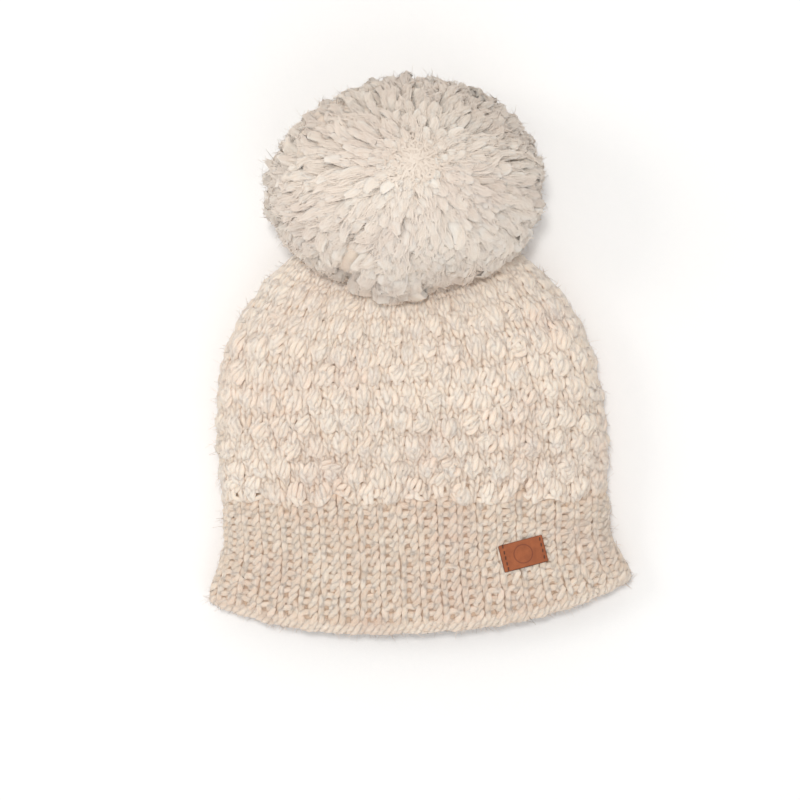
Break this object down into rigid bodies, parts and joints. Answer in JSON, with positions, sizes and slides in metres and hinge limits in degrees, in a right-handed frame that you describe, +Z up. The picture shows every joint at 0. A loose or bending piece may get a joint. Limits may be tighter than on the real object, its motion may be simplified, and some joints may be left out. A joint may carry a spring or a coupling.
{
  "type": "wool hat with pompom",
  "caption": "Chunky knitted wool hat laid flat, with a ribbed band, a bobbled crown, a big pompom and a small leather patch.",
  "frame": {"origin": "middle of the box round the hat, on the table that it lies on", "axes": "+Y up the hat from the hem to the pompom, +Z up from the table through the front of the hat, +X to the right as the front is seen"},
  "size_m": [0.2356, 0.3062, 0.1102],
  "materials": {
    "band_wool": "chunky oatmeal wool in one by one rib",
    "crown_wool": "chunky oatmeal wool in bobble stitch",
    "pompom_wool": "loose ivory wool roving",
    "leather": "smooth tan leather with dark cut edges"
  },
  "bodies": {
    "root": {"ribbed_band": "band_wool", "crown": "crown_wool", "pompom": "pompom_wool", "leather_patch": "leather"}
  },
  "joints": []
}
